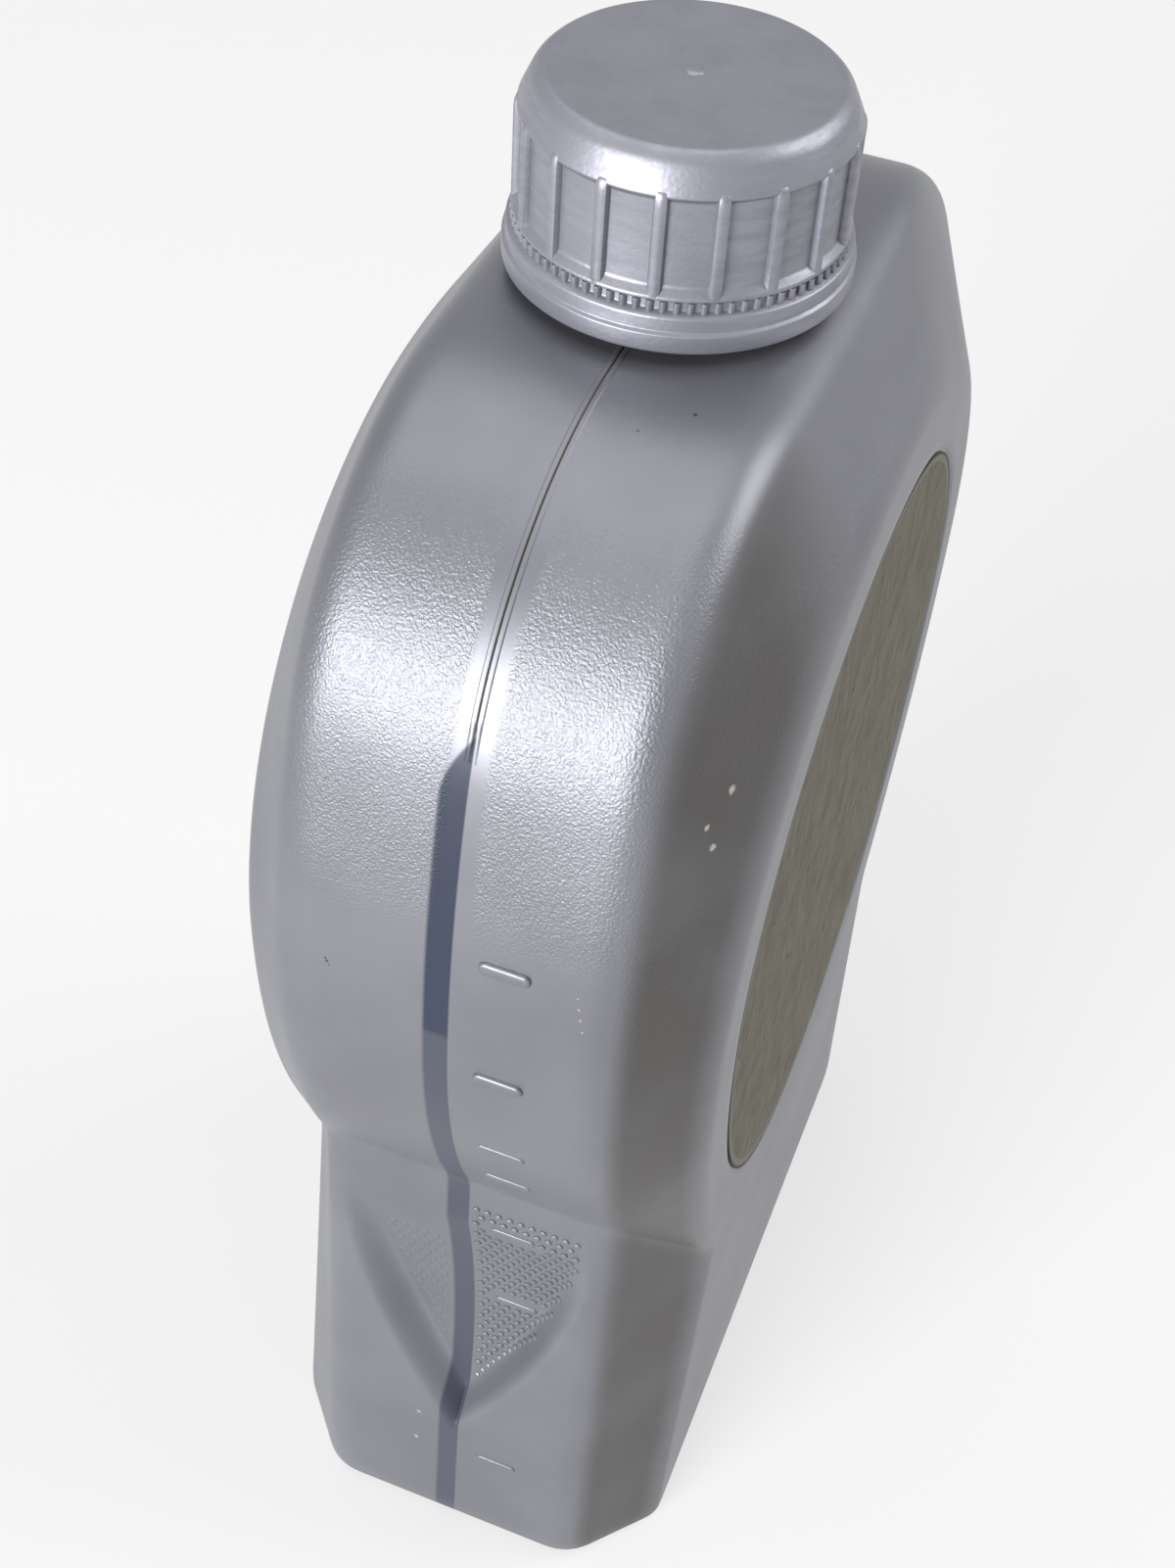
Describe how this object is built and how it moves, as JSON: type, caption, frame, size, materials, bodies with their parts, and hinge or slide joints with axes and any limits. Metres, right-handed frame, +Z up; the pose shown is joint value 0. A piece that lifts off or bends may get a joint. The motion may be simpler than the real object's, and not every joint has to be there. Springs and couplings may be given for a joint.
{
  "type": "motor oil bottle",
  "caption": "Flat one-litre oil bottle with a round shouldered body, grip scoops, sight strip and a ribbed screw cap on a tamper-evident ring.",
  "frame": {"origin": "middle of the base, on the surface the bottle stands on", "axes": "+Z up along the neck, X along the wide side with the sight strip at -X, Y through the thickness with the label at -Y"},
  "size_m": [0.1295, 0.0612, 0.221],
  "materials": {
    "bottle_plastic": "satin silver-grey blow-moulded polyethylene with a fine mould grain",
    "cap_plastic": "satin silver moulded polypropylene",
    "label_film": "dull worn film",
    "liner_foam": "white foamed sealing wad"
  },
  "bodies": {
    "bottle": {"bottle_body": "bottle_plastic", "front_label": "label_film", "tamper_band": "cap_plastic"},
    "seal": {"cap_liner": "liner_foam"},
    "cap": {"screw_cap": "cap_plastic"}
  },
  "joints": [
    {"name": "cap_lift", "type": "slide", "parent": "bottle", "child": "seal", "axis": [0, 0, 1], "range_m": [0, 0.0081]},
    {"name": "cap_turn", "type": "hinge", "parent": "seal", "child": "cap", "pos_m": [0, 0, 0.2], "axis": [0, 0, 1], "range_deg": [0, 720]}
  ],
  "couplings": [
    {"joint": "cap_lift", "follows": "cap_turn", "m_per_rad": 0.00063662}
  ]
}
